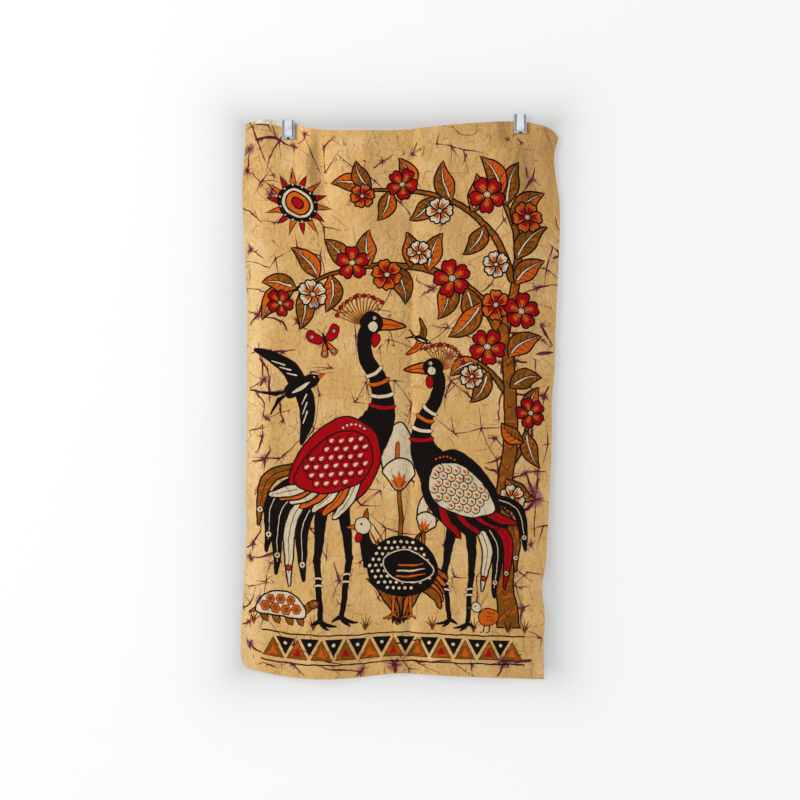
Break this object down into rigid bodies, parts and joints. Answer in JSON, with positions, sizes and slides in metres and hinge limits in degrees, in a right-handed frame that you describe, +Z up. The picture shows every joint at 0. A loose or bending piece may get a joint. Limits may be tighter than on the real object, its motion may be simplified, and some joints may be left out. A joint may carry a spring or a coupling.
{
  "type": "batik wall hanging with spring clips",
  "caption": "Portrait batik cloth in ochre, red, orange and brown with maroon crackle, hung on a wall from small steel spring clips.",
  "frame": {"origin": "middle of the left clip's back face, on the wall plane", "axes": "+X to the right along the hanging, +Z up, +Y into the wall; the picture side faces -Y"},
  "size_m": [0.5183, 0.0193, 0.9173],
  "materials": {
    "batik_cotton": "matt dyed and waxed plain weave",
    "clip_steel": "bright zinc plated",
    "grip_rubber": "matt black"
  },
  "bodies": {
    "root": {"cloth": "batik_cotton", "left_clip_back_jaw": "clip_steel", "left_clip_front_jaw": "clip_steel", "left_clip_pin": "clip_steel", "left_clip_grip": "grip_rubber", "right_clip_back_jaw": "clip_steel", "right_clip_front_jaw": "clip_steel", "right_clip_pin": "clip_steel", "right_clip_grip": "grip_rubber"}
  },
  "joints": []
}
